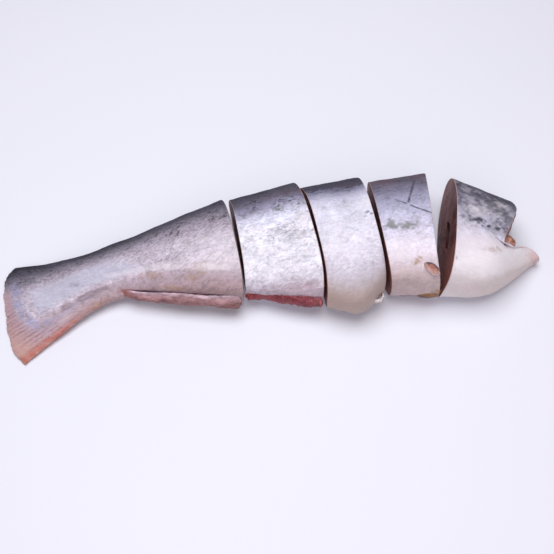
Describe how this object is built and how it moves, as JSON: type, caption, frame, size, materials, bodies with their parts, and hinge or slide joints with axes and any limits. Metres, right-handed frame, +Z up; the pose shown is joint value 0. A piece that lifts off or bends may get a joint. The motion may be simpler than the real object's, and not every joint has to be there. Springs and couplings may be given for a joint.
{
  "type": "sliced pangasius",
  "caption": "Headless freshwater catfish with its tail fin on, cut across into thick steaks that lie in a row and keep the shape of the fish.",
  "frame": {"origin": "under the middle of the row, on the surface that the fish lies on", "axes": "+X from the tail to the shoulder, +Y from the belly to the back, +Z up from the surface"},
  "size_m": [0.3788, 0.1386, 0.049],
  "materials": {
    "tail_skin": "wet mauve-grey skin, charcoal along the back, pinkish beige at the belly, blue-white and reddish on the fin",
    "flank_skin": "wet silver-white skin with a dark slate band along the back",
    "belly_skin": "wet pinkish white skin with a marbled slate back"
  },
  "bodies": {
    "root": {"tail_piece": "tail_skin", "rear_steak": "flank_skin", "middle_steak": "flank_skin", "front_steak": "belly_skin", "shoulder_piece": "belly_skin"}
  },
  "joints": []
}
